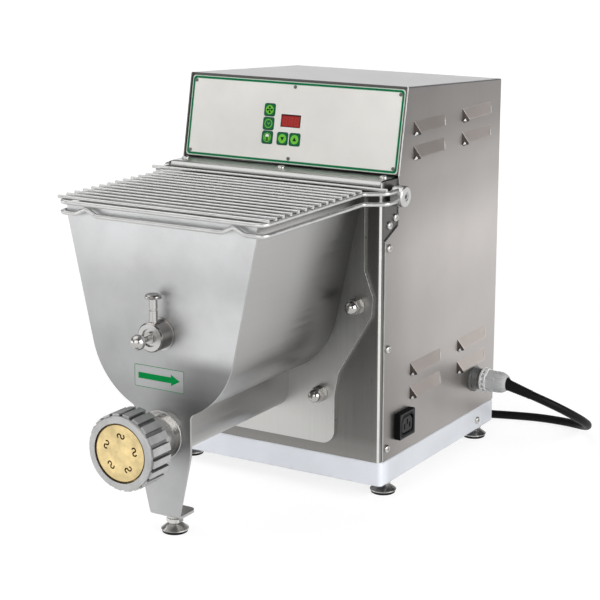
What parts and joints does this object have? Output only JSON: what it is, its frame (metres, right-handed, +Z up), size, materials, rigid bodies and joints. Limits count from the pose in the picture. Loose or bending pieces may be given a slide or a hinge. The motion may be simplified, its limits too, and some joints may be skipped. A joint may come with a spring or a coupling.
{
  "type": "electric pasta maker",
  "caption": "Benchtop electric pasta maker: sheet steel case with sloped control panel, kneading hopper under a wire lid, auger nose with bronze die and ribbed ring nut.",
  "frame": {"origin": "on the worktop, under the middle of the machine's bounding box without its cord, cable gland and plug", "axes": "+Z up, -Y to the front where the die is, +X to the right of someone facing the front"},
  "size_m": [0.3742, 0.6158, 0.38],
  "materials": {
    "stainless_brushed": "fine brushed grain",
    "steel_bright": "polished",
    "aluminium_plain": "satin",
    "aluminium_cast": "matte cast",
    "bronze": "turned",
    "gear_steel": "machined",
    "foot_steel": "plated, on a black rubber pad",
    "motor_paint": "semi-matte",
    "tray_white": "smooth satin",
    "label_white": "satin printed film",
    "key_green": "satin membrane",
    "display_red": "glossy filter",
    "board_green": "lacquered board",
    "plastic_black": "fine grain",
    "plastic_white": "smooth",
    "gland_grey": "smooth satin",
    "rubber_black": "matte"
  },
  "bodies": {
    "machine": {"base_tray": "tray_white", "hood": "stainless_brushed", "front_panel": "stainless_brushed", "rear_cover": "stainless_brushed", "case_screws": "steel_bright", "fascia_plate": "stainless_brushed", "fascia_label": "label_white", "display_window": "display_red", "fascia_rivets": "aluminium_plain", "control_board": "board_green", "hinge_brackets": "stainless_brushed", "hinge_pins": "steel_bright", "lid_switch": "plastic_black", "hopper_sides": "stainless_brushed", "auger_channel": "stainless_brushed", "hopper_front_plate": "stainless_brushed", "hopper_rear_plate": "stainless_brushed", "hopper_studs": "steel_bright", "hopper_washers": "steel_bright", "hopper_cap_nuts": "steel_bright", "paddle_boss": "stainless_brushed", "barrel_nose": "stainless_brushed", "bearing_plate": "aluminium_plain", "drive_plate": "gear_steel", "drive_bearings": "gear_steel", "shaft_seals": "rubber_black", "gearbox_housing": "aluminium_cast", "motor_housing": "motor_paint", "run_capacitor": "plastic_white", "power_outlet": "plastic_black", "gland_body": "gland_grey", "gland_dome_nut": "gland_grey", "cord": "rubber_black", "cord_coil": "rubber_black", "plug": "plastic_black"},
    "lid": {"lid_hinge_bosses": "steel_bright", "lid_upper_frame": "steel_bright", "lid_lower_frame": "steel_bright", "lid_rods": "steel_bright"},
    "paddle_assembly": {"paddle": "stainless_brushed", "paddle_shaft": "gear_steel", "paddle_gear": "gear_steel"},
    "auger_assembly": {"auger": "aluminium_plain", "auger_shaft": "gear_steel", "auger_gear": "gear_steel"},
    "pinion": {"motor_pinion": "gear_steel"},
    "die": {"extrusion_die": "bronze"},
    "nut": {"ring_nut": "aluminium_cast"},
    "pull_pin": {"paddle_pull_pin": "steel_bright"},
    "lock_pin": {"paddle_lock_pin": "steel_bright"},
    "key_mix": {"button_mix": "key_green"},
    "key_timer": {"button_timer": "key_green"},
    "key_extrude": {"button_extrude": "key_green"},
    "key_down": {"button_down": "key_green"},
    "key_up": {"button_up": "key_green"},
    "foot_front_left_body": {"foot_front_left": "foot_steel"},
    "foot_front_right_body": {"foot_front_right": "foot_steel"},
    "foot_rear_left_body": {"foot_rear_left": "foot_steel"},
    "foot_rear_right_body": {"foot_rear_right": "foot_steel"},
    "foot_hopper_leg_body": {"foot_hopper_leg": "foot_steel"}
  },
  "joints": [
    {"name": "lid_hinge", "type": "hinge", "parent": "machine", "child": "lid", "pos_m": [0, 0.0168, 0.285], "axis": [-1, 0, 0], "range_deg": [0, 85]},
    {"name": "paddle_spin", "type": "hinge", "parent": "machine", "child": "paddle_assembly", "pos_m": [0, 0, 0.185], "axis": [0, 1, 0], "continuous": true},
    {"name": "auger_spin", "type": "hinge", "parent": "machine", "child": "auger_assembly", "pos_m": [0, 0, 0.095], "axis": [0, 1, 0], "continuous": true},
    {"name": "pinion_spin", "type": "hinge", "parent": "machine", "child": "pinion", "pos_m": [0, 0, 0.255], "axis": [0, 1, 0], "continuous": true},
    {"name": "die_slide", "type": "slide", "parent": "machine", "child": "die", "axis": [0, -1, 0], "range_m": [0, 0.012]},
    {"name": "nut_spin", "type": "hinge", "parent": "die", "child": "nut", "pos_m": [0, -0.2297, 0.095], "axis": [0, -1, 0], "range_deg": [0, 1440]},
    {"name": "paddle_pin_slide", "type": "slide", "parent": "machine", "child": "pull_pin", "axis": [0, -1, 0], "range_m": [0, 0.014]},
    {"name": "lock_pin_lift", "type": "slide", "parent": "machine", "child": "lock_pin", "axis": [0, 0, 1], "range_m": [0, 0.01]},
    {"name": "press_mix", "type": "slide", "parent": "machine", "child": "key_mix", "axis": [0, 0.9803, -0.1973], "range_m": [0, 0.0005], "stiffness_N_per_m": 3000, "springref_m": -0.0001},
    {"name": "press_timer", "type": "slide", "parent": "machine", "child": "key_timer", "axis": [0, 0.9803, -0.1973], "range_m": [0, 0.0005], "stiffness_N_per_m": 3000, "springref_m": -0.0001},
    {"name": "press_extrude", "type": "slide", "parent": "machine", "child": "key_extrude", "axis": [0, 0.9803, -0.1973], "range_m": [0, 0.0005], "stiffness_N_per_m": 3000, "springref_m": -0.0001},
    {"name": "press_down", "type": "slide", "parent": "machine", "child": "key_down", "axis": [0, 0.9803, -0.1973], "range_m": [0, 0.0005], "stiffness_N_per_m": 3000, "springref_m": -0.0001},
    {"name": "press_up", "type": "slide", "parent": "machine", "child": "key_up", "axis": [0, 0.9803, -0.1973], "range_m": [0, 0.0005], "stiffness_N_per_m": 3000, "springref_m": -0.0001},
    {"name": "level_front_left", "type": "hinge", "parent": "machine", "child": "foot_front_left_body", "pos_m": [-0.109, 0.0208, 0], "axis": [0, 0, 1], "continuous": true},
    {"name": "level_front_right", "type": "hinge", "parent": "machine", "child": "foot_front_right_body", "pos_m": [0.109, 0.0208, 0], "axis": [0, 0, 1], "continuous": true},
    {"name": "level_rear_left", "type": "hinge", "parent": "machine", "child": "foot_rear_left_body", "pos_m": [-0.109, 0.2168, 0], "axis": [0, 0, 1], "continuous": true},
    {"name": "level_rear_right", "type": "hinge", "parent": "machine", "child": "foot_rear_right_body", "pos_m": [0.109, 0.2168, 0], "axis": [0, 0, 1], "continuous": true},
    {"name": "level_hopper_leg", "type": "hinge", "parent": "machine", "child": "foot_hopper_leg_body", "pos_m": [0, -0.1646, 0], "axis": [0, 0, 1], "continuous": true}
  ],
  "couplings": [
    {"joint": "auger_spin", "follows": "paddle_spin", "ratio": -1.4},
    {"joint": "pinion_spin", "follows": "paddle_spin", "ratio": -3},
    {"joint": "nut_spin", "follows": "die_slide", "rad_per_m": 2094.4}
  ]
}
